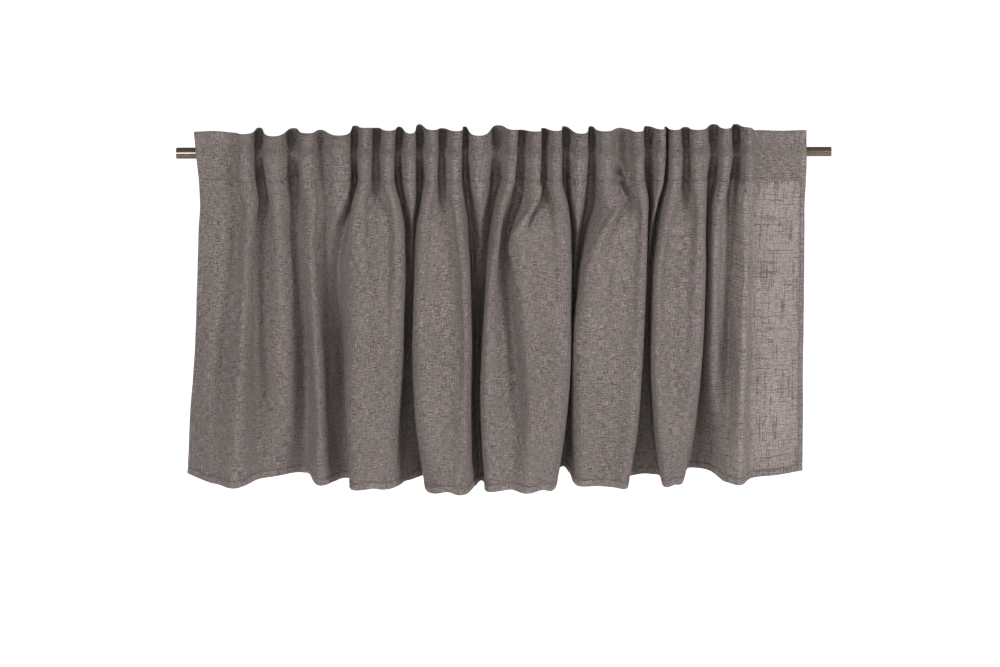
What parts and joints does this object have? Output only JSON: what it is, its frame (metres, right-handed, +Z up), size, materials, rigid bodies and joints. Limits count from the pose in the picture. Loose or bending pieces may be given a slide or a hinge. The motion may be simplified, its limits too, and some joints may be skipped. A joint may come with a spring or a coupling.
{
  "type": "gathered window valance on a telescopic curtain rod",
  "caption": "Short gathered cloth valance with a frilled rod-pocket heading, hanging in soft uneven folds from its telescopic rod.",
  "frame": {"origin": "on the rod's axis, at the middle of the rod's length", "axes": "+Z up, +X along the rod to the thin tube's end, the room in front of the valance at -Y"},
  "size_m": [1.0921, 0.1563, 0.6166],
  "materials": {
    "cloth": "matt taupe grey melange weave, slightly see-through",
    "rod_steel": "smooth satin steel"
  },
  "bodies": {
    "root": {"valance": "cloth", "rod_thick_tube": "rod_steel", "rod_thin_tube": "rod_steel"}
  },
  "joints": []
}
